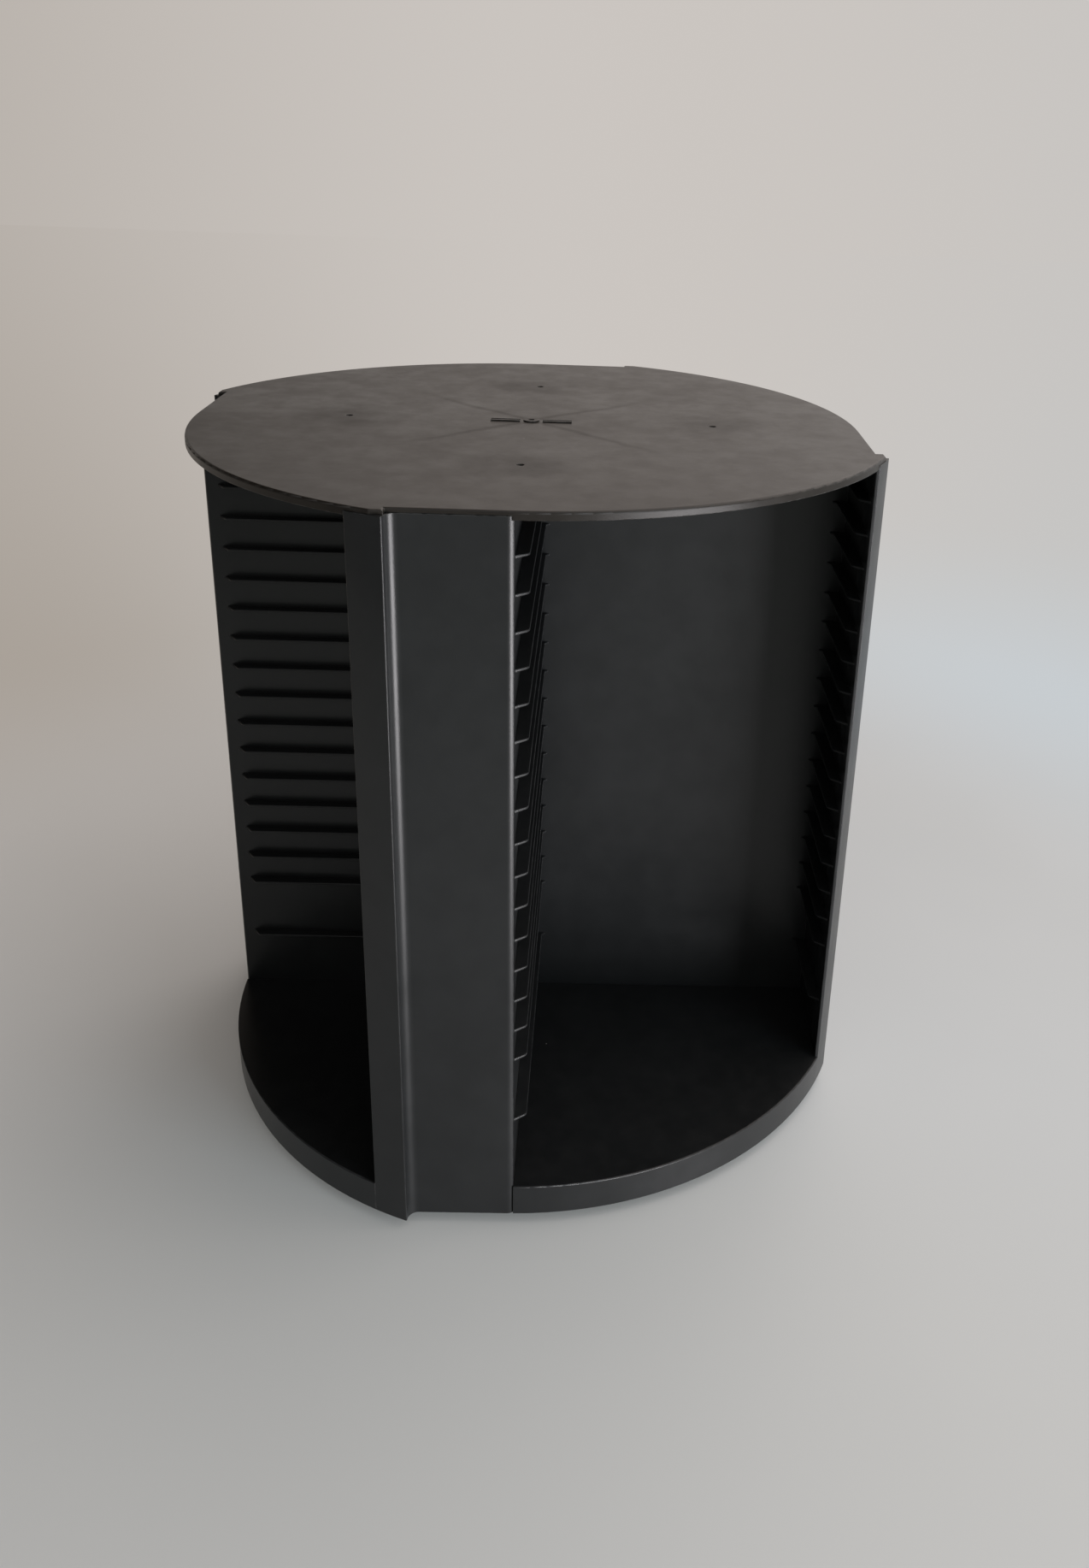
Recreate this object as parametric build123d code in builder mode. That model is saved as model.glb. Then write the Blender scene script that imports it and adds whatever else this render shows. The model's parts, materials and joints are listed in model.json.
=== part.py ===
"""Revolving rack for compact-disc cases: four slotted compartments set like a pinwheel, on a ball ring.

Millimetres, +Z up. The origin is on the turning axis, at the surface that the rack stands on.
Compartment 1 opens towards -Y. Every other column is column 1 turned about Z by quarter turns.
"""

import os
from math import cos, radians, sin, sqrt

from build123d import *

# ---- Rack, overall ----
SIDES = 4
FACE = 131.0  # from the turning axis to the flat side of a column
OUTLINE_OFFSET = 14.6  # the centre of a compartment's outline arc lies this far behind the axis
OUTLINE_R = FACE + OUTLINE_OFFSET
RIM_BOTTOM = 5.0
FLOOR_TOP = 18.0
CEILING = 281.5
PLATE_T = 3.0
PLATE_TOP = CEILING + PLATE_T
FAR = 2 * OUTLINE_R  # larger than anything on the rack

# ---- Column: divider, side panel, ridge and slanted lip ----
DIVIDER_T = 1.8
PANEL_T = 2.2
LIP_END = 50.8  # from the divider to the front end of the lip
LIP_T = 1.2
RIDGE_SIDE = 38.2  # from the divider to the ridge's steep side
RIDGE_R = 4.0  # hollow fillet between the flat panel and the ridge
RIDGE_NOSE_R = 0.4
CORNER_R = 3.2  # the panel curves back to the divider on this radius, and meets it at an angle
CORNER_W = 2.2
LIP_NOSE_R = 0.15
FLOOR_GROOVE = 1.0  # the divider's foot stands this deep in the tray's floor
PLATE_GROOVE = 1.4  # the column's top stands this deep in the top plate
COLUMN_TOP = CEILING + PLATE_GROOVE

# ---- Ribs: one under each case ----
RIB_T = 1.2
RIB_REACH = 4.6
RIB_SLANT = 3.2  # the free edge starts this far behind the root
RIB_CORNER_R = 2.2
RIB_SETBACK = 5.5  # from the flat panel's face back to the ribs' front end
SIDE_RIB_END = 47.0
RIB_GAP = 0.15  # between a rib's back end and the wall behind it
DOUBLE_PITCH = 27.8
DOUBLE_SLOTS = 2
PITCH = 13.0
SINGLE_SLOTS = 15

# ---- Base tray ----
FLOOR_T = 2.4
SKIRT_T = 2.2
RIM_EDGE_R = 0.5
STUB_R = 8.0
STUB_BOTTOM = 3.6
TRAY_RIBS = 16
TRAY_RIB_T = 1.6
TRAY_RIB_H = 4.4

# ---- Ball ring ----
TRACK_R = 60.0
BALL_R = 3.0
BALL_Z = 9.5
BALLS = 12
RACE_W = 16.0
RACE_PLAY = 0.2  # between a ball and each race
LOWER_RACE_TOP = 8.2
UPPER_RACE_BOTTOM = 10.8
CAGE_T = 1.6
CAGE_W = 14.0
CAGE_HOLE_R = 3.2

# ---- Foot ----
FOOT_R = 95.0
FOOT_BOTTOM = 2.0
FOOT_TOP = 4.5
FOOT_RIM_T = 2.2
FOOT_RIM_TOP = 7.6
HUB_R = 16.0
HUB_BOTTOM = 3.9
HUB_TOP = 11.0
RECESS_R = 13.0
BUSH_R = 10.0
BUSH_PLAY = 0.06
FOOT_RIBS = 12
FOOT_RIB_T = 1.6
FOOT_RIB_TOP = 7.0
PADS = 4
PAD_TRACK_R = 78.0
PAD_R = 8.0
PAD_T = 3.0
PAD_EDGE_R = 0.6
PAD_BOSS_R = 10.0
PAD_BOSS_TOP = 5.5

# ---- Pivot screw and washer ----
WASHER_R = 12.0
WASHER_T = 1.0
SCREW_R = 1.9
SCREW_PLAY = 0.05
SCREW_TOP = 13.0
SCREW_HEAD_R = 3.8
SCREW_HEAD_T = 1.7
HEAD_EDGE_R = 0.6
CROSS_L = 4.4
CROSS_W = 0.9
CROSS_DEPTH = 1.0

# ---- Top plate ----
PLATE_INSET = 0.3  # its outline stays this far inside the tray's
TIP_REACH = 2.6  # its corners stand this far out over the ridges
TIP_SIDE = 38.0
PLATE_EDGE_R = 0.9
DIMPLE_TRACK_R = 72.0
DIMPLE_R = 1.5
DIMPLE_DEPTH = 0.6
DEVICE_H = 0.5
DEVICE_RING_R = 3.2
DEVICE_HOLE_R = 1.2
DEVICE_BAR_L = 11.5
DEVICE_BAR_W = 1.3
DEVICE_BAR_PITCH = 2.6
DEVICE_BARS = 2

QUARTER = 360 / SIDES
LOW = (Align.MIN, Align.MIN)
os.makedirs("parts", exist_ok=True)


def save(piece, label):
    """Names a finished piece and writes its file."""
    piece.part.label = label
    export_step(piece.part, f"parts/{label}.step")


def level(height, quarters=0):
    """A horizontal plane at a height, its X axis turned by some quarter turns."""
    turn = radians(QUARTER * quarters)
    return Plane(origin=(0, 0, height), x_dir=(cos(turn), sin(turn), 0), z_dir=(0, 0, 1))


def box_2d(left, front, right, back, mode=Mode.ADD):
    """A rectangle between two corners."""
    with Locations((left, front)):
        Rectangle(right - left, back - front, align=LOW, mode=mode)


def rib_tops():
    """Heights of the ribs' upper faces: two double slots at the bottom, single slots above."""
    doubles = [FLOOR_TOP + DOUBLE_PITCH * (step + 1) for step in range(DOUBLE_SLOTS)]
    singles = [doubles[-1] + PITCH * (step + 1) for step in range(SINGLE_SLOTS)]
    return doubles + singles


# ---- Plans shared by several pieces ----
def compartment_circle(inset=0.0):
    """The full circle whose front arc outlines compartment 1."""
    with Locations((0, OUTLINE_OFFSET)):
        Circle(OUTLINE_R - inset)


def tray_outline(inset=0.0):
    """The tray's plan: an arc in front of each compartment, and a pocket where a panel covers the skirt."""
    side = FACE - PANEL_T - inset
    with BuildSketch(mode=Mode.PRIVATE) as quarter:
        compartment_circle(inset)
        box_2d(0, -FAR, FAR, 0, mode=Mode.INTERSECT)
        box_2d(side, -(LIP_END + inset), FAR, 0, mode=Mode.SUBTRACT)
    with PolarLocations(0, SIDES):
        add(quarter.sketch)
    with PolarLocations(0, SIDES):
        box_2d(0, -FAR, DIVIDER_T + inset, -side, mode=Mode.SUBTRACT)


def plate_outline():
    """The top plate's plan: the same arcs, flush with the panels, with a small corner over each ridge."""
    with BuildSketch(mode=Mode.PRIVATE) as quarter:
        compartment_circle(PLATE_INSET)
        box_2d(0, -FAR, FACE + TIP_REACH, 0, mode=Mode.INTERSECT)
        box_2d(FACE - PLATE_INSET, -TIP_SIDE, FAR, 0, mode=Mode.SUBTRACT)
    with PolarLocations(0, SIDES):
        add(quarter.sketch)


def panel_plan():
    """Plan of column 1's outer wall: flat panel, hollow step, ridge and slanted lip."""
    step_x = -(RIDGE_SIDE - RIDGE_R)
    hollow = (step_x, -(FACE + RIDGE_R))
    with Locations(hollow):
        Circle(RIDGE_R + PANEL_T)
        Circle(RIDGE_R, mode=Mode.SUBTRACT)
    box_2d(-FAR, -(FACE + RIDGE_R), step_x, 0, mode=Mode.INTERSECT)
    with BuildSketch(mode=Mode.PRIVATE) as lip:
        with Locations((OUTLINE_OFFSET, 0)):
            Circle(OUTLINE_R)
            Circle(OUTLINE_R - LIP_T, mode=Mode.SUBTRACT)
        box_2d(-LIP_END, -FAR, -RIDGE_SIDE, 0, mode=Mode.INTERSECT)
    add(lip.sketch)
    with Locations((OUTLINE_OFFSET, 0)):
        Circle(OUTLINE_R, mode=Mode.INTERSECT)
    box_2d(step_x, -FACE, DIVIDER_T, -(FACE - PANEL_T))


with BuildSketch() as panel_shape:
    panel_plan()
    ridge_tip = panel_shape.vertices().group_by(Axis.Y)[0]
    fillet(ridge_tip, RIDGE_NOSE_R)
    with BuildSketch(mode=Mode.PRIVATE) as corner_waste:
        box_2d(DIVIDER_T - CORNER_W, -FACE, DIVIDER_T, CORNER_R - FACE)
        with Locations((DIVIDER_T - CORNER_W, CORNER_R - FACE)):
            Circle(CORNER_R, mode=Mode.SUBTRACT)
    add(corner_waste.sketch, mode=Mode.SUBTRACT)
    lip_nose = panel_shape.vertices().group_by(Axis.X)[0]
    fillet(lip_nose, LIP_NOSE_R)


# ---- Columns ----
def build_column(number):
    """Column: the outer wall over the full height, and the divider that runs in to the axis."""
    with BuildPart() as column:
        with BuildSketch(level(RIM_BOTTOM, number)):
            add(panel_shape.sketch)
        extrude(amount=COLUMN_TOP - RIM_BOTTOM)
        with BuildSketch(level(FLOOR_TOP - FLOOR_GROOVE, number)):
            box_2d(0, -(FACE - PANEL_T), DIVIDER_T, 0)
        extrude(amount=COLUMN_TOP - FLOOR_TOP + FLOOR_GROOVE)
    return column


def rib_plan(length):
    """A rib's plan: its root on the X axis, its slanted front end at the origin."""
    Polygon((0, 0), (length, 0), (length, RIB_REACH), (RIB_SLANT, RIB_REACH), align=None)


with BuildSketch() as long_rib:
    with BuildSketch(mode=Mode.PRIVATE) as long_plan:
        rib_plan(FACE - RIB_SETBACK - RIB_GAP)
        fillet(long_plan.vertices().sort_by_distance((RIB_SLANT, RIB_REACH))[0], RIB_CORNER_R)
    with Locations(Location((DIVIDER_T, -(FACE - RIB_SETBACK)), 90)):
        add(mirror(long_plan.sketch, about=Plane.XZ, mode=Mode.PRIVATE))

with BuildSketch() as short_rib:
    with BuildSketch(mode=Mode.PRIVATE) as short_plan:
        rib_plan(SIDE_RIB_END - RIB_GAP)
        fillet(short_plan.vertices().sort_by_distance((RIB_SLANT, RIB_REACH))[0], RIB_CORNER_R)
    with Locations((-SIDE_RIB_END, -(FACE - PANEL_T))):
        add(short_plan.sketch)


def build_ribs(number):
    """The ribs on one column: long ones on its divider, short ones on the back of its panel."""
    with BuildPart() as ribs:
        for top in rib_tops():
            with BuildSketch(level(top - RIB_T, number)):
                add(long_rib.sketch)
                add(short_rib.sketch)
            extrude(amount=RIB_T)
    return ribs


columns = [build_column(number) for number in range(SIDES)]
for number, column in enumerate(columns):
    save(column, f"column_{number + 1}")
    save(build_ribs(number), f"slot_ribs_{number + 1}")


# ---- Base tray ----
with BuildSketch(Plane.XZ) as groove_section:
    with Locations((TRACK_R, BALL_Z)):
        Circle(BALL_R + RACE_PLAY)


with BuildPart() as base_tray:
    with BuildSketch(Plane.XY.offset(RIM_BOTTOM)):
        tray_outline()
    extrude(amount=FLOOR_TOP - RIM_BOTTOM)
    top_arcs = base_tray.edges().group_by(Axis.Z)[-1].filter_by(GeomType.CIRCLE)
    fillet(top_arcs, RIM_EDGE_R)
    with BuildSketch(Plane.XY.offset(RIM_BOTTOM)):
        tray_outline(SKIRT_T)
    extrude(amount=FLOOR_TOP - FLOOR_T - RIM_BOTTOM, mode=Mode.SUBTRACT)
    with BuildSketch(Plane.XY.offset(FLOOR_TOP - FLOOR_T - TRAY_RIB_H)):
        with PolarLocations(0, TRAY_RIBS):
            Rectangle(OUTLINE_R, TRAY_RIB_T, align=(Align.MIN, Align.CENTER))
        Circle(TRACK_R, mode=Mode.SUBTRACT)
        with BuildSketch(mode=Mode.PRIVATE) as inside:
            tray_outline(SKIRT_T / 2)
        add(inside.sketch, mode=Mode.INTERSECT)
    extrude(amount=TRAY_RIB_H)
    with BuildSketch(Plane.XY.offset(UPPER_RACE_BOTTOM)):
        Circle(TRACK_R + RACE_W / 2)
        Circle(TRACK_R - RACE_W / 2, mode=Mode.SUBTRACT)
    extrude(amount=FLOOR_TOP - FLOOR_T - UPPER_RACE_BOTTOM)
    revolve(groove_section.sketch, axis=Axis.Z, mode=Mode.SUBTRACT)
    with BuildSketch(Plane.XY.offset(STUB_BOTTOM)):
        Circle(STUB_R)
    extrude(amount=FLOOR_TOP - FLOOR_T - STUB_BOTTOM)
    with BuildSketch(Plane.XY.offset(STUB_BOTTOM)):
        Circle(SCREW_R + SCREW_PLAY)
    extrude(amount=SCREW_TOP + SCREW_PLAY - STUB_BOTTOM, mode=Mode.SUBTRACT)
    with BuildSketch(Plane.XY.offset(FLOOR_TOP - FLOOR_GROOVE)):
        with PolarLocations(0, SIDES):
            box_2d(0, -(FACE - PANEL_T), DIVIDER_T, 0)
    extrude(amount=FLOOR_GROOVE, mode=Mode.SUBTRACT)
save(base_tray, "base_tray")

# ---- Top plate ----
with BuildPart() as top_plate:
    with BuildSketch(Plane.XY.offset(CEILING)):
        plate_outline()
    extrude(amount=PLATE_T)
    fillet(top_plate.faces().sort_by(Axis.Z)[-1].outer_wire().edges(), PLATE_EDGE_R)
    for column in columns:
        add(column.part, mode=Mode.SUBTRACT)
    with BuildSketch(Plane.XY.offset(PLATE_TOP)):
        with PolarLocations(DIMPLE_TRACK_R, SIDES):
            Circle(DIMPLE_R)
    extrude(amount=-DIMPLE_DEPTH, taper=30, mode=Mode.SUBTRACT)
    with BuildSketch(Plane.XY.offset(PLATE_TOP)):
        Circle(DEVICE_RING_R)
        Circle(DEVICE_HOLE_R, mode=Mode.SUBTRACT)
        bar_x = DEVICE_RING_R + DEVICE_BAR_PITCH / 2 + DEVICE_BAR_L / 2
        with GridLocations(2 * bar_x, DEVICE_BAR_PITCH, 2, DEVICE_BARS):
            Rectangle(DEVICE_BAR_L, DEVICE_BAR_W)
    extrude(amount=DEVICE_H)
save(top_plate, "top_plate")

# ---- Foot ----
with BuildPart() as foot_plate:
    with BuildSketch(Plane.XY.offset(FOOT_BOTTOM)):
        Circle(FOOT_R)
        Circle(RECESS_R, mode=Mode.SUBTRACT)
    extrude(amount=FOOT_TOP - FOOT_BOTTOM)
    with BuildSketch(Plane.XY.offset(FOOT_TOP)):
        Circle(FOOT_R)
        Circle(FOOT_R - FOOT_RIM_T, mode=Mode.SUBTRACT)
    extrude(amount=FOOT_RIM_TOP - FOOT_TOP)
    with BuildSketch(Plane.XY.offset(FOOT_TOP)):
        Circle(TRACK_R + RACE_W / 2)
        Circle(TRACK_R - RACE_W / 2, mode=Mode.SUBTRACT)
    extrude(amount=LOWER_RACE_TOP - FOOT_TOP)
    with BuildSketch(Plane.XY.offset(HUB_BOTTOM)):
        Circle(HUB_R)
        Circle(BUSH_R, mode=Mode.SUBTRACT)
    extrude(amount=HUB_TOP - HUB_BOTTOM)
    with BuildSketch(Plane.XY.offset(FOOT_TOP)):
        with PolarLocations(0, FOOT_RIBS):
            Rectangle(FOOT_R - FOOT_RIM_T / 2, FOOT_RIB_T, align=(Align.MIN, Align.CENTER))
        Circle((HUB_R + BUSH_R) / 2, mode=Mode.SUBTRACT)
    extrude(amount=FOOT_RIB_TOP - FOOT_TOP)
    revolve(groove_section.sketch, axis=Axis.Z, mode=Mode.SUBTRACT)
    with BuildSketch(Plane.XY.offset(FOOT_TOP)):
        with PolarLocations(PAD_TRACK_R, PADS, start_angle=QUARTER / 2):
            Circle(PAD_BOSS_R)
    extrude(amount=PAD_BOSS_TOP - FOOT_TOP)
    with BuildSketch(Plane.XY.offset(FOOT_BOTTOM)):
        with PolarLocations(PAD_TRACK_R, PADS, start_angle=QUARTER / 2):
            Circle(PAD_R)
    extrude(amount=PAD_T - FOOT_BOTTOM, mode=Mode.SUBTRACT)
save(foot_plate, "foot_plate")

for number in range(PADS):
    with BuildPart() as rubber_foot:
        with BuildSketch():
            with PolarLocations(PAD_TRACK_R, 1, start_angle=QUARTER * (number + 0.5)):
                Circle(PAD_R)
        extrude(amount=PAD_T)
        fillet(rubber_foot.edges().group_by(Axis.Z)[0], PAD_EDGE_R)
    save(rubber_foot, f"rubber_foot_{number + 1}")

with BuildPart() as centre_bush:
    with BuildSketch(Plane.XY.offset(HUB_BOTTOM)):
        Circle(BUSH_R)
        Circle(STUB_R + BUSH_PLAY, mode=Mode.SUBTRACT)
    extrude(amount=HUB_TOP - HUB_BOTTOM)
save(centre_bush, "centre_bush")

# ---- Ball ring ----
with BuildPart() as ball_cage:
    with BuildSketch(Plane.XY.offset(BALL_Z - CAGE_T / 2)):
        Circle(TRACK_R + CAGE_W / 2)
        Circle(TRACK_R - CAGE_W / 2, mode=Mode.SUBTRACT)
        with PolarLocations(TRACK_R, BALLS):
            Circle(CAGE_HOLE_R, mode=Mode.SUBTRACT)
    extrude(amount=CAGE_T)
save(ball_cage, "ball_cage")

with BuildPart() as bearing_balls:
    with Locations((0, 0, BALL_Z)):
        with PolarLocations(TRACK_R, BALLS):
            Sphere(BALL_R)
save(bearing_balls, "bearing_balls")

# ---- Pivot screw and washer ----
with BuildPart() as pivot_washer:
    with BuildSketch(Plane.XY.offset(STUB_BOTTOM - WASHER_T)):
        Circle(WASHER_R)
        Circle(SCREW_R + SCREW_PLAY, mode=Mode.SUBTRACT)
    extrude(amount=WASHER_T)
save(pivot_washer, "pivot_washer")

with BuildPart() as pivot_screw:
    head_top = STUB_BOTTOM - WASHER_T
    with BuildSketch(Plane.XY.offset(head_top - SCREW_HEAD_T)):
        Circle(SCREW_HEAD_R)
    extrude(amount=SCREW_HEAD_T)
    fillet(pivot_screw.edges().group_by(Axis.Z)[0], HEAD_EDGE_R)
    with BuildSketch(Plane.XY.offset(head_top)):
        Circle(SCREW_R)
    extrude(amount=SCREW_TOP - head_top)
    with BuildSketch(Plane.XY.offset(head_top - SCREW_HEAD_T)):
        Rectangle(CROSS_L, CROSS_W)
        Rectangle(CROSS_W, CROSS_L)
    extrude(amount=CROSS_DEPTH, mode=Mode.SUBTRACT)
save(pivot_screw, "pivot_screw")
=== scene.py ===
"""Looks of the revolving disc rack: camera, stage, light, materials and the moulded ribs.

Everything is in metres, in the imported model's own frame. The turning axis is Z, and the rack stands on
z = 0.
"""

import json
from math import cos, hypot, pi, radians, sin, tan

import bmesh
import bpy
from mathutils import Matrix, Vector


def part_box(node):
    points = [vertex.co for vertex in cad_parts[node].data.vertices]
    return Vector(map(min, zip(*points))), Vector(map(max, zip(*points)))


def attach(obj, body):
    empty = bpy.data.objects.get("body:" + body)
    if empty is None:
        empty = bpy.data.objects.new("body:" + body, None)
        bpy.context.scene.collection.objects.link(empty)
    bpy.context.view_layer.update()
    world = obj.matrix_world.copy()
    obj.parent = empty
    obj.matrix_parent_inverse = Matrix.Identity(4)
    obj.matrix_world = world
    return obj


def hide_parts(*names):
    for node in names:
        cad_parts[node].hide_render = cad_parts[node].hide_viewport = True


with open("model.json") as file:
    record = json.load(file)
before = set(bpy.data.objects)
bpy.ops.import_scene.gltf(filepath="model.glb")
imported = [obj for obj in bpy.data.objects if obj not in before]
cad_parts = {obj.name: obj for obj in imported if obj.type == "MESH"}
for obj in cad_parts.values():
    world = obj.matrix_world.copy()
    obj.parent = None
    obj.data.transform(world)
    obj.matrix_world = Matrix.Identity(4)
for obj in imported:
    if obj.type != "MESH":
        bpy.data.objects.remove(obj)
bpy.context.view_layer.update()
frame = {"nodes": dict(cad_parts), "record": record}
MM = 0.001
COLUMNS = 4

# ---- Ribs ----
FLAT_SIDE = 131.0 * MM  # from the turning axis to a column's flat side
RIB_SETBACK = 5.5 * MM
RIB_REACH = 4.6 * MM
RIB_SLANT = 3.2 * MM
RIB_CORNER_R = 2.2 * MM
RIB_HEEL = 1.4 * MM
RIB_ROOT_T = 1.2 * MM
RIB_FREE_T = 0.85 * MM
RIB_EDGE_R = 0.3 * MM
RIB_ARC_STEPS = 5
RIB_ROUND_STEPS = 3
SLANT_SINE = RIB_REACH / hypot(RIB_REACH, RIB_SLANT)
PITCH = 13.0 * MM
SINGLE_SLOTS = 15
DOUBLE_PITCH = 27.8 * MM

# ---- Top plate ----
DIMPLE_TRACK = 72.0 * MM  # from the turning axis to a dimple
HALO_OUTER = 26.0 * MM
HALO_INNER = 2.0 * MM
HALO_RAGGED = 6.0 * MM
WELD_HALF_WIDTH = 4.5 * MM
WELD_WANDER = 1.6 * MM
WELD_REACH = 85.0 * MM
WELD_FULL = 30.0 * MM
RIM_DULLING = 0.28

# ---- Surfaces ----
GRAIN_SCALE = 1900.0  # spark-eroded grain, about half a millimetre
GRAIN_DEPTH = 0.02 * MM
FLOW_DEPTH = 0.12 * MM
WORN_EDGE = 0.45 * MM
SMALL_WORN_EDGE = 0.3 * MM
DUST_COLOUR = (0.26, 0.25, 0.235, 1.0)
WORN_COLOUR = (0.15, 0.15, 0.145, 1.0)

# ---- Camera ----
CAMERA_PLACE = Vector((0.0282, -0.5321, 0.3989))
CAMERA_TURN = 1.69
CAMERA_PITCH = 22.22
CAMERA_ROLL = 2.17
LENS = 30.94
SENSOR = 36.0
SHIFT = (-0.0564, -0.0765)

# ---- Stage, a pale floor that fades into a pale surround; the floor's glow is painted light ----
FLOOR_REACH = 4.0
FADE_START = 0.30
FADE_END = 0.60
NEAR_PAINTED_LIGHT_SHARE = 0.18  # share of painted light, the floor's own glow, near the rack
# Painted light on the floor near the rack: glow colours, brighter and bluer on the right and dimmer and
# warmer on the left, as the window's light falls.
PAINTED_FLOOR_LIGHT_LEFT = (0.395, 0.355, 0.315, 1.0)
PAINTED_FLOOR_LIGHT_BACK = (0.575, 0.56, 0.545, 1.0)
PAINTED_FLOOR_LIGHT_RIGHT = (0.58, 0.625, 0.66, 1.0)
PAINTED_FLOOR_LIGHT_FRONT = (0.48, 0.49, 0.47, 1.0)
# The surround lights the scene, and the far floor glows in the same colours as painted light.
SURROUND_LEFT = (0.40, 0.36, 0.32, 1.0)
SURROUND_BACK = (0.595, 0.56, 0.53, 1.0)
SURROUND_RIGHT = (0.56, 0.56, 0.555, 1.0)
SURROUND_FRONT = (0.44, 0.45, 0.43, 1.0)
UPPER_LEFT = (0.02, 0.014, 0.008, 1.0)
UPPER_BACK = (0.68, 0.585, 0.53, 1.0)
UPPER_RIGHT = (1.36, 1.23, 1.16, 1.0)
UPPER_FRONT = (0.42, 0.42, 0.42, 1.0)
GLOW_TINT_START = 0.38  # metres from the axis, as the two fades are, where the painted glow turns from the near colours to the surround's
GLOW_TINT_END = 1.0
UPPER_START = 0.21  # heights on the unit sphere round the rack
UPPER_END = 0.36
FLOOR_BASE = (0.79, 0.81, 0.81, 1.0)

# ---- Light ----
FRONT_CORNER = Vector((0.0, -0.131, 0.15))
WINDOW_AZIMUTH = -40
FLAG_AZIMUTH = -132.0
FLAG_DISTANCE = 0.80
FLAG_WIDTH = 0.60
FLAG_LOW = 0.002
FLAG_HIGH = 0.50


def make_camera():
    """A near, slightly raised view of compartment 1, with the front of column 1 on its left."""
    turn, pitch, roll = radians(CAMERA_TURN), radians(CAMERA_PITCH), radians(CAMERA_ROLL)
    ahead = Vector((sin(turn) * cos(pitch), cos(turn) * cos(pitch), -sin(pitch)))
    right = Vector((cos(turn), -sin(turn), 0.0))
    up = right.cross(ahead)
    rolled_right = cos(roll) * right + sin(roll) * up
    rolled_up = cos(roll) * up - sin(roll) * right
    data = bpy.data.cameras.new("camera")
    data.sensor_width = SENSOR
    data.lens = LENS
    data.shift_x, data.shift_y = SHIFT
    camera = bpy.data.objects.new("camera", data)
    rotation = Matrix((rolled_right, rolled_up, -ahead)).transposed()
    camera.matrix_world = Matrix.Translation(CAMERA_PLACE) @ rotation.to_4x4()
    bpy.context.scene.collection.objects.link(camera)
    bpy.context.scene.camera = camera


# ---- Shader graphs ----
class Graph:
    """A node tree with short calls: each call adds one node and returns its main output socket."""

    def __init__(self, tree):
        self.tree = tree

    def add(self, kind, inputs=None, output=0, **settings):
        """Adds a node. inputs maps socket names or numbers to values or to other nodes' sockets."""
        node = self.tree.nodes.new(kind)
        for name, value in settings.items():
            setattr(node, name, value)
        for key, value in (inputs or {}).items():
            if isinstance(value, bpy.types.NodeSocket):
                self.tree.links.new(value, node.inputs[key])
            else:
                node.inputs[key].default_value = value
        return node.outputs[output]

    def math(self, operation, first, second=0.0):
        return self.add("ShaderNodeMath", {0: first, 1: second}, operation=operation)

    def ease(self, value, start, end, low=0.0, high=1.0):
        """A smooth step: low where value is at start, high where it is at end."""
        inputs = {"Value": value, "From Min": start, "From Max": end, "To Min": low, "To Max": high}
        return self.add("ShaderNodeMapRange", inputs, interpolation_type="SMOOTHSTEP")

    def noise(self, where, scale, detail=2.0, roughness=0.5, distortion=0.0):
        inputs = {"Vector": where, "Scale": scale, "Detail": detail, "Roughness": roughness}
        inputs["Distortion"] = distortion
        return self.add("ShaderNodeTexNoise", inputs)

    def blend(self, amount, first, second):
        """Mixes two colours."""
        inputs = {"Factor": amount, 6: first, 7: second}
        return self.add("ShaderNodeMix", inputs, output=2, data_type="RGBA")

    def axes(self, vector):
        """The x, y and z of a vector."""
        node = self.add("ShaderNodeSeparateXYZ", {0: vector}).node
        return node.outputs[0], node.outputs[1], node.outputs[2]

    def length(self, vector):
        return self.add("ShaderNodeVectorMath", {0: vector}, output=1, operation="LENGTH")

    def facing_up(self):
        """The z of the surface's own normal."""
        return self.axes(self.add("ShaderNodeNewGeometry", output=1))[2]

    def bump(self, height, depth, strength, normal):
        inputs = {"Height": height, "Distance": depth, "Strength": strength, "Normal": normal}
        return self.add("ShaderNodeBump", inputs)


def new_material(name):
    """An empty material, its graph and its surface shader."""
    material = bpy.data.materials.new(name)
    material.use_nodes = True
    graph = Graph(material.node_tree)
    return material, graph, material.node_tree.nodes["Principled BSDF"]


def finish_material(graph, shader, colour, roughness, normal):
    """Links the three varying sockets of a surface."""
    graph.tree.links.new(colour, shader.inputs["Base Color"])
    graph.tree.links.new(roughness, shader.inputs["Roughness"])
    graph.tree.links.new(normal, shader.inputs["Normal"])


# ---- Black moulded plastic ----
def edge_wear(graph, where, normal):
    """1 on worn, outer edges and 0 on flat faces, broken up by noise."""
    flat = graph.add("ShaderNodeNewGeometry", output=1)
    turned = graph.add("ShaderNodeVectorMath", {0: normal, 1: flat}, output=1, operation="DOT_PRODUCT")
    edge = graph.ease(turned, 0.985, 0.86)
    patchy = graph.ease(graph.noise(where, 240.0, 3.0, 0.6), 0.42, 0.62)
    return graph.math("MULTIPLY", edge, patchy)


def dust(graph, where):
    """A thin film and a few specks of dust, on faces that look up."""
    lying = graph.ease(graph.facing_up(), 0.55, 0.95)
    film = graph.ease(graph.noise(where, 130.0, 5.0, 0.7), 0.35, 0.75)
    cells = graph.add("ShaderNodeTexVoronoi", {"Vector": where, "Scale": 90.0}).node
    near = graph.ease(cells.outputs["Distance"], 0.036, 0.018)
    chosen = graph.ease(graph.axes(cells.outputs["Color"])[0], 0.86, 0.88)
    specks = graph.math("MULTIPLY", near, chosen)
    return graph.math("MULTIPLY", lying, film), graph.math("MULTIPLY", lying, specks)


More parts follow.
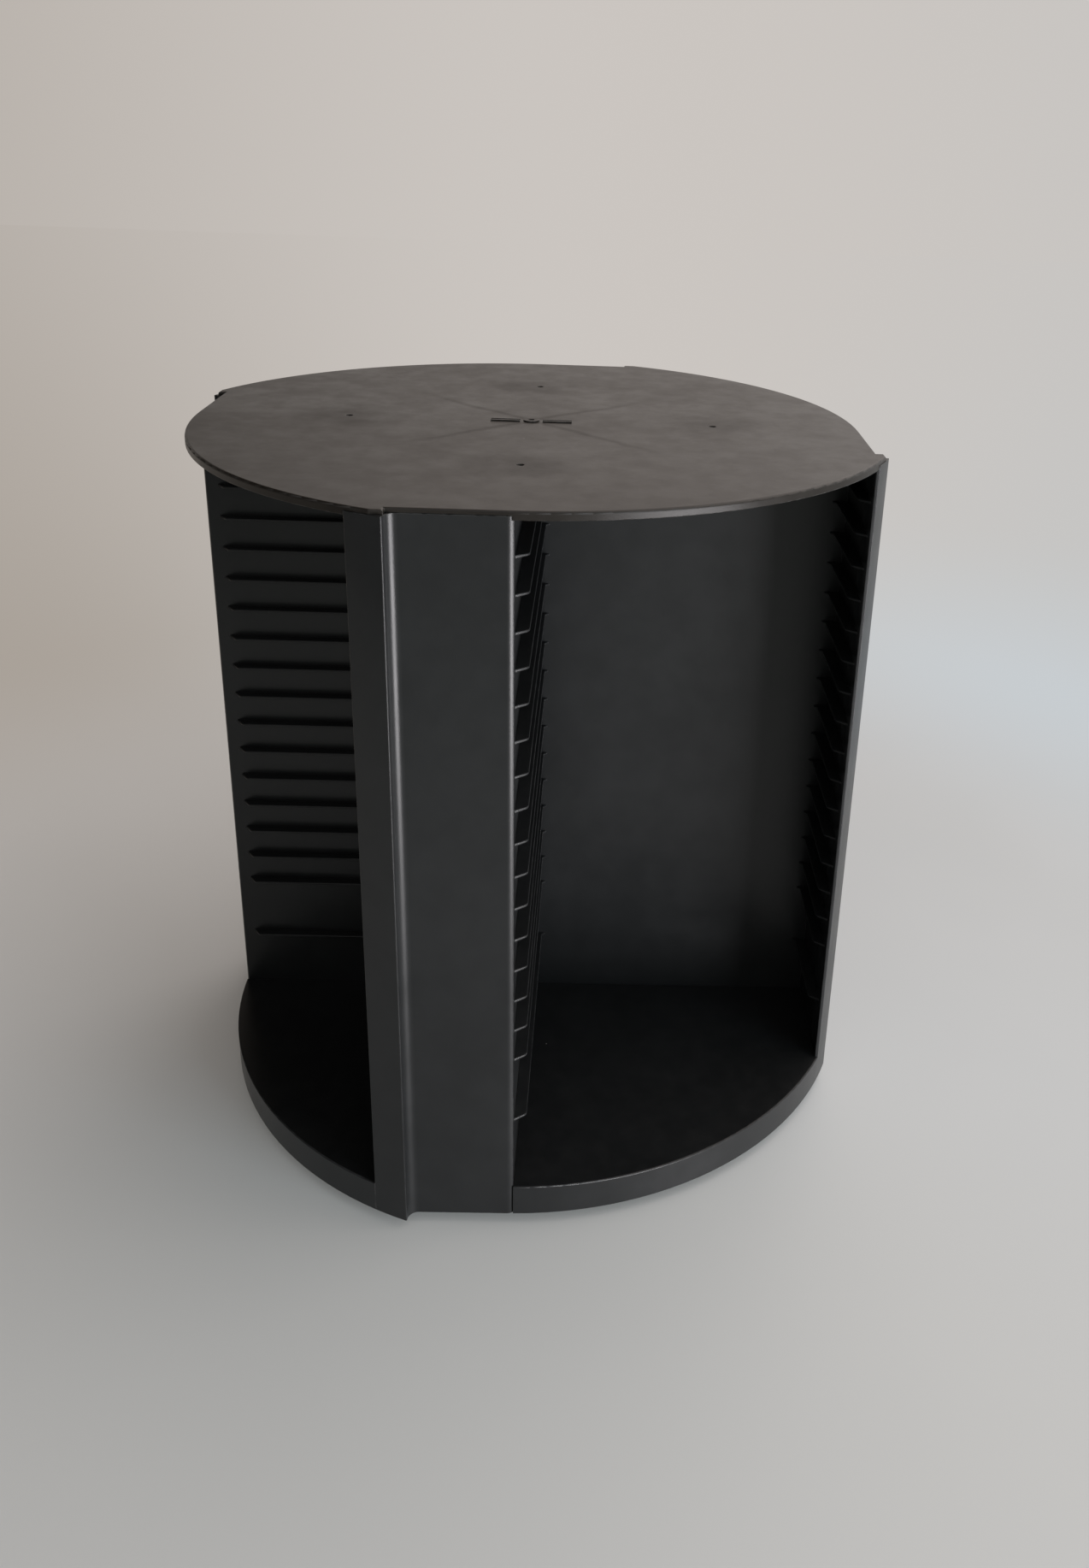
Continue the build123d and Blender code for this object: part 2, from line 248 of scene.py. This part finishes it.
def plate_marks(graph, where):
    """How strong the top plate's weld lines along the diagonals are, and the dull halo round each dimple."""
    x, y, _ = graph.axes(where)
    wander = graph.ease(graph.noise(where, 38.0, 2.0), 0.3, 0.7, -WELD_WANDER, WELD_WANDER)
    across, along = graph.math("ABSOLUTE", x), graph.math("ABSOLUTE", y)
    off_line = graph.math("ABSOLUTE", graph.math("ADD", graph.math("SUBTRACT", across, along), wander))
    radius = graph.length(graph.add("ShaderNodeCombineXYZ", {0: x, 1: y}))
    fading = graph.ease(radius, WELD_REACH, WELD_FULL)
    weld = graph.math("MULTIPLY", graph.ease(off_line, WELD_HALF_WIDTH, 0.0), fading)
    far = graph.math("SUBTRACT", graph.math("MAXIMUM", across, along), DIMPLE_TRACK)
    near = graph.math("MINIMUM", across, along)
    from_dimple = graph.length(graph.add("ShaderNodeCombineXYZ", {0: far, 1: near}))
    uneven = graph.ease(graph.noise(where, 55.0, 3.0), 0.3, 0.7, -HALO_RAGGED, HALO_RAGGED)
    return weld, graph.ease(graph.math("ADD", from_dimple, uneven), HALO_OUTER, HALO_INNER)


def black_plastic(name, colour, gloss, film_amount, spread=0.12, specular=0.5, is_plate=False):
    """Satin black plastic: spark grain, uneven tone and sheen, worn edges and dust."""
    material, graph, shader = new_material(name)
    where = graph.add("ShaderNodeTexCoord", output=3)
    grain = graph.noise(where, GRAIN_SCALE, 2.0, 0.6)
    flow = graph.noise(where, 11.0, 3.0, 0.55, 0.6)
    mottle = graph.noise(where, 75.0, 3.0, 0.6)
    rounded = graph.add("ShaderNodeBevel", {"Radius": WORN_EDGE}, samples=4)
    wear = edge_wear(graph, where, rounded)
    film, specks = dust(graph, where)

    tone = graph.math("ADD", graph.math("MULTIPLY", flow, 0.6), graph.math("MULTIPLY", mottle, 0.4))
    dark = [(1 - spread) * part for part in colour] + [1.0]
    light = [(1 + spread) * part for part in colour] + [1.0]
    base = graph.blend(graph.ease(tone, 0.3, 0.7), dark, light)
    base = graph.blend(graph.math("MULTIPLY", film, film_amount), base, DUST_COLOUR)
    base = graph.blend(graph.math("MULTIPLY", wear, 0.5), base, WORN_COLOUR)
    base = graph.blend(graph.math("MULTIPLY", specks, 0.7), base, DUST_COLOUR)

    uneven = 0.15 * spread
    rough = graph.ease(mottle, 0.3, 0.7, gloss - uneven, gloss + uneven)
    rough = graph.math("ADD", rough, graph.ease(flow, 0.3, 0.7, -uneven, uneven))
    rough = graph.math("ADD", rough, graph.math("MULTIPLY", film, 0.06))
    rough = graph.math("SUBTRACT", rough, graph.math("MULTIPLY", wear, 0.06))

    shine = graph.ease(tone, 0.3, 0.7, specular - uneven, specular + uneven)
    if is_plate:
        weld, halo = plate_marks(graph, where)
        duller = graph.math("ADD", graph.math("MULTIPLY", weld, 0.16), graph.math("MULTIPLY", halo, 0.13))
        shine = graph.math("SUBTRACT", shine, duller)
        rim = graph.ease(graph.facing_up(), 0.7, 0.2)
        shine = graph.math("SUBTRACT", shine, graph.math("MULTIPLY", rim, RIM_DULLING))
        rough = graph.math("ADD", rough, graph.math("MULTIPLY", duller, 0.35))
    graph.tree.links.new(shine, shader.inputs["Specular IOR Level"])

    normal = graph.bump(flow, FLOW_DEPTH, 0.4, rounded)
    normal = graph.bump(grain, GRAIN_DEPTH, 1.0, normal)
    finish_material(graph, shader, base, rough, normal)
    return material


# ---- Other materials ----
def simple_material(name, dark, light, rough_low, rough_high, metal=0.0, depth=0.01):
    """A surface with uneven tone, uneven sheen and a fine grain. The depth is in millimetres."""
    material, graph, shader = new_material(name)
    where = graph.add("ShaderNodeTexCoord", output=3)
    tone = graph.noise(where, 60.0, 4.0, 0.6)
    fine = graph.noise(where, 900.0, 3.0, 0.6)
    rounded = graph.add("ShaderNodeBevel", {"Radius": SMALL_WORN_EDGE}, samples=4)
    wear = edge_wear(graph, where, rounded)
    base = graph.blend(graph.ease(tone, 0.3, 0.7), dark, light)
    base = graph.blend(graph.math("MULTIPLY", wear, 0.4), base, [min(1.0, 1.6 * part) for part in light])
    rough = graph.ease(fine, 0.3, 0.7, rough_low, rough_high)
    shader.inputs["Metallic"].default_value = metal
    finish_material(graph, shader, base, rough, graph.bump(fine, depth * MM, 0.8, rounded))
    return material


shell = black_plastic("satin_black_shell", (0.0110, 0.0118, 0.0123), 0.33, 0.015, specular=0.35)
top = black_plastic("satin_black_top", (0.0145, 0.0122, 0.0100), 0.34, 0.05, spread=0.2, is_plate=True)
foot = black_plastic("matt_black_foot", (0.016, 0.016, 0.016), 0.55, 0.0, specular=0.45)
acetal = simple_material("natural_acetal", (0.60, 0.59, 0.54, 1), (0.74, 0.73, 0.69, 1), 0.24, 0.36)
rubber = simple_material("pad_rubber", (0.022, 0.022, 0.022, 1), (0.045, 0.044, 0.043, 1), 0.7, 0.88,
                         depth=0.03)
steel = simple_material("bearing_steel", (0.50, 0.51, 0.53, 1), (0.64, 0.65, 0.67, 1), 0.08, 0.2, metal=1.0,
                        depth=0.002)
zinc = simple_material("zinc_plate", (0.46, 0.47, 0.45, 1), (0.62, 0.62, 0.60, 1), 0.25, 0.42, metal=1.0)

FINISHES = {
    "shell_plastic": shell,
    "top_plastic": top,
    "foot_plastic": foot,
    "bush_plastic": acetal,
    "pad_rubber": rubber,
    "bearing_steel": steel,
    "zinc_steel": zinc,
}
for part in frame["record"]["subparts"]:
    mesh = frame["nodes"][part["node"]].data
    mesh.materials.clear()
    mesh.materials.append(FINISHES[part["material_slot"]])


# ---- Ribs, with their drafted underside and rounded edges ----
def offset_outline(points, inset):
    """The exposed outline moved in by inset. Its first point stays on the wall, its last on the back."""
    moved = [Vector((points[0][0] + inset / SLANT_SINE, points[0][1]))]
    for before, point, after in zip(points, points[1:], points[2:]):
        first = (Vector(point) - Vector(before)).normalized()
        second = (Vector(after) - Vector(point)).normalized()
        left = Vector((first.y + second.y, -first.x - second.x)).normalized()
        moved.append(Vector(point) + left * inset / max(0.5, left.dot(Vector((first.y, -first.x)))))
    moved.append(Vector((points[-1][0], points[-1][1] - inset)))
    return moved


def rib_outline(length):
    """The exposed edge of a rib in plan: slanted front, rounded corner, free edge and heel."""
    slope = Vector((RIB_SLANT, RIB_REACH)).normalized()
    corner = Vector((RIB_SLANT, RIB_REACH))
    turn = slope.angle(Vector((1, 0)))
    back_off = RIB_CORNER_R * tan(turn / 2)
    centre = corner + Vector((back_off, -RIB_CORNER_R))
    points = [(0.0, 0.0)]
    for step in range(RIB_ARC_STEPS + 1):
        angle = pi / 2 + turn * (1 - step / RIB_ARC_STEPS)
        points.append((centre.x + RIB_CORNER_R * cos(angle), centre.y + RIB_CORNER_R * sin(angle)))
    return points + [(length - RIB_HEEL, RIB_REACH), (length, RIB_REACH + RIB_HEEL)]


def add_rib(mesh, length, top_z, place):
    """One rib as a closed solid. place turns its plan into the rack's plan."""
    outline = rib_outline(length)
    levels = []
    for step in range(RIB_ROUND_STEPS + 1):
        angle = pi / 2 * step / RIB_ROUND_STEPS
        levels.append((RIB_EDGE_R * (1 - sin(angle)), RIB_EDGE_R * (1 - cos(angle)), True))
    levels += [(inset, drop, False) for inset, drop, _ in reversed(levels)]
    rings = []
    for inset, drop, is_upper in levels:
        ring = offset_outline(outline, inset) + [Vector((length, 0.0))]
        corners = []
        for point in ring:
            under = top_z - RIB_ROOT_T + (RIB_ROOT_T - RIB_FREE_T) * min(1.0, point.y / RIB_REACH)
            height = top_z - drop if is_upper else under + drop
            x, y = place(point.x, point.y)
            corners.append(mesh.verts.new((x, y, height)))
        rings.append(corners)
    mesh.faces.new(rings[0])
    mesh.faces.new(rings[-1])
    count = len(rings[0])
    for upper, lower in zip(rings, rings[1:]):
        for i in range(count):
            mesh.faces.new((upper[i], upper[(i + 1) % count], lower[(i + 1) % count], lower[i]))


def build_ribs(number):
    """All ribs of one column: long ones on its divider, short ones on the back of its panel."""
    low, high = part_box("slot_ribs_1")
    divider_face = high[0] - RIB_REACH
    front_y = -FLAT_SIDE + RIB_SETBACK
    singles = [high[2] - PITCH * step for step in range(SINGLE_SLOTS + 1)]
    mesh = bmesh.new()
    for top_z in singles + [singles[-1] - DOUBLE_PITCH]:
        add_rib(mesh, high[1] - front_y, top_z, lambda u, w: (divider_face + w, front_y + u))
        add_rib(mesh, high[1] - low[0], top_z, lambda u, w: (low[0] + u, low[1] + w))
    bmesh.ops.recalc_face_normals(mesh, faces=mesh.faces)
    bmesh.ops.rotate(mesh, verts=mesh.verts, cent=(0, 0, 0), matrix=Matrix.Rotation(number * pi / 2, 3, "Z"))
    data = bpy.data.meshes.new(f"moulded_ribs_{number + 1}")
    mesh.to_mesh(data)
    mesh.free()
    data.shade_smooth()
    data.set_sharp_from_angle(angle=radians(40))
    ribs = bpy.data.objects.new(f"moulded_ribs_{number + 1}", data)
    ribs.data.materials.append(shell)
    bpy.context.scene.collection.objects.link(ribs)
    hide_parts(f"slot_ribs_{number + 1}")
    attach(ribs, "rack")


for number in range(COLUMNS):
    build_ribs(number)

# ---- Stage: a pale floor that fades into a pale surround; the floor's glow is painted light ----


def heading_colour(graph, direction, left, back, right, front, spread=0.75):
    """A colour that turns with the heading: left and right along X, back and front along Y."""
    level = graph.add("ShaderNodeVectorMath", {0: direction, 1: (1.0, 1.0, 0.0)}, operation="MULTIPLY")
    heading = graph.add("ShaderNodeVectorMath", {0: level}, operation="NORMALIZE")
    x, y, _ = graph.axes(heading)
    across = graph.blend(graph.ease(x, -spread, 0.0), left, back)
    across = graph.blend(graph.ease(x, 0.0, spread), across, right)
    return graph.blend(graph.ease(y, -0.1, -0.95), across, front)


def make_world():
    """A pale surround without any picture: even near the horizon, warmer and dimmer up on the left."""
    world = bpy.data.worlds.new("surround")
    world.use_nodes = True
    graph = Graph(world.node_tree)
    direction = graph.add("ShaderNodeTexCoord", output=0)
    horizon = heading_colour(graph, direction, SURROUND_LEFT, SURROUND_BACK, SURROUND_RIGHT, SURROUND_FRONT)
    upper = heading_colour(graph, direction, UPPER_LEFT, UPPER_BACK, UPPER_RIGHT, UPPER_FRONT, 0.4)
    height = graph.axes(graph.add("ShaderNodeVectorMath", {0: direction}, operation="NORMALIZE"))[2]
    colour = graph.blend(graph.ease(height, UPPER_START, UPPER_END), horizon, upper)
    graph.tree.links.new(colour, world.node_tree.nodes["Background"].inputs["Color"])
    bpy.context.scene.world = world


def make_floor():
    """The floor, with painted light. Far from the rack it glows wholly in the surround's colours, so no
    horizon shows; near the rack a share of its colour is a painted glow, brighter and bluer on the right and
    dimmer and warmer on the left.
    """
    material, graph, shader = new_material("pale_floor")
    where = graph.add("ShaderNodeTexCoord", output=3)
    near_painted_light = heading_colour(graph, where, PAINTED_FLOOR_LIGHT_LEFT, PAINTED_FLOOR_LIGHT_BACK, PAINTED_FLOOR_LIGHT_RIGHT, PAINTED_FLOOR_LIGHT_FRONT)
    far_painted_light = heading_colour(graph, where, SURROUND_LEFT, SURROUND_BACK, SURROUND_RIGHT, SURROUND_FRONT)
    distance = graph.length(where)
    colour = graph.blend(graph.ease(distance, GLOW_TINT_START, GLOW_TINT_END), near_painted_light, far_painted_light)
    shader.inputs["Base Color"].default_value = FLOOR_BASE
    rough = graph.ease(graph.noise(where, 9.0), 0.3, 0.7, 0.45, 0.55)
    graph.tree.links.new(rough, shader.inputs["Roughness"])
    # Painted light: the floor glows, in part near the rack and wholly far from it.
    painted_glow = graph.add("ShaderNodeEmission", {"Color": colour})
    painted_glow_share = graph.ease(distance, FADE_START, FADE_END, NEAR_PAINTED_LIGHT_SHARE, 1.0)
    mixed = graph.add("ShaderNodeMixShader", {0: painted_glow_share, 2: painted_glow})
    graph.tree.links.new(shader.outputs[0], mixed.node.inputs[1])
    graph.tree.links.new(mixed, graph.tree.nodes["Material Output"].inputs["Surface"])
    mesh = bpy.data.meshes.new("floor")
    r = FLOOR_REACH
    mesh.from_pydata([(-r, -r, 0), (r, -r, 0), (r, r, 0), (-r, r, 0)], [], [(0, 1, 2, 3)])
    floor = bpy.data.objects.new("floor", mesh)
    floor.data.materials.append(material)
    bpy.context.scene.collection.objects.link(floor)
    return floor


# ---- Light ----
def area_light(name, azimuth, elevation, distance, size, radiance, colour):
    """A soft rectangle of light, placed and aimed from the rack's front corner.

    Azimuth runs from +X to +Y, in degrees.
    """
    a, e = radians(azimuth), radians(elevation)
    towards = Vector((cos(a) * cos(e), sin(a) * cos(e), sin(e)))
    data = bpy.data.lights.new(name, "AREA")
    data.shape = "RECTANGLE"
    data.size, data.size_y = size
    data.energy = radiance * pi * size[0] * size[1]
    data.color = colour
    light = bpy.data.objects.new(name, data)
    light.location = FRONT_CORNER + distance * towards
    light.rotation_mode = "QUATERNION"
    light.rotation_quaternion = towards.to_track_quat("Z", "Y")
    light.visible_camera = False
    bpy.context.scene.collection.objects.link(light)
    return light


def shine_through(light, floor):
    """The floor doesn't stop this light, which stands for a window's mirror image in the glossy floor."""
    blockers = bpy.data.collections.new("blockers")
    blockers.objects.link(floor)
    blockers.collection_objects[0].light_linking.link_state = "EXCLUDE"
    light.light_linking.blocker_collection = blockers


def dark_flag():
    """A dark card beside the camera, out of its sight, that keeps the slanted lips dim."""
    material, graph, shader = new_material("dark_card")
    where = graph.add("ShaderNodeTexCoord", output=3)
    tone = graph.blend(graph.noise(where, 12.0), (0.010, 0.010, 0.010, 1.0), (0.016, 0.016, 0.016, 1.0))
    graph.tree.links.new(tone, shader.inputs["Base Color"])
    shader.inputs["Roughness"].default_value = 0.9
    a, half = radians(FLAG_AZIMUTH), FLAG_WIDTH / 2
    middle = Vector((cos(a), sin(a), 0)) * FLAG_DISTANCE
    side = Vector((-sin(a), cos(a), 0)) * half
    low, high = Vector((0, 0, FLAG_LOW)), Vector((0, 0, FLAG_HIGH))
    mesh = bpy.data.meshes.new("dark_card")
    corners = [middle - side + low, middle + side + low, middle + side + high, middle - side + high]
    mesh.from_pydata(corners, [], [(0, 1, 2, 3)])
    mesh.materials.append(material)
    card = bpy.data.objects.new("dark_card", mesh)
    card.visible_camera = False
    bpy.context.scene.collection.objects.link(card)


make_camera()
make_world()
stage_floor = make_floor()
dark_flag()
area_light("window", WINDOW_AZIMUTH, 12, 1.6, (0.8, 0.6), 6.0, (0.80, 0.91, 1.0))
image = area_light("window_image", WINDOW_AZIMUTH, -16, 1.5, (0.80, 0.56), 18.0, (1.0, 0.97, 0.99))
shine_through(image, stage_floor)
bpy.context.scene.view_settings.view_transform = "Standard"
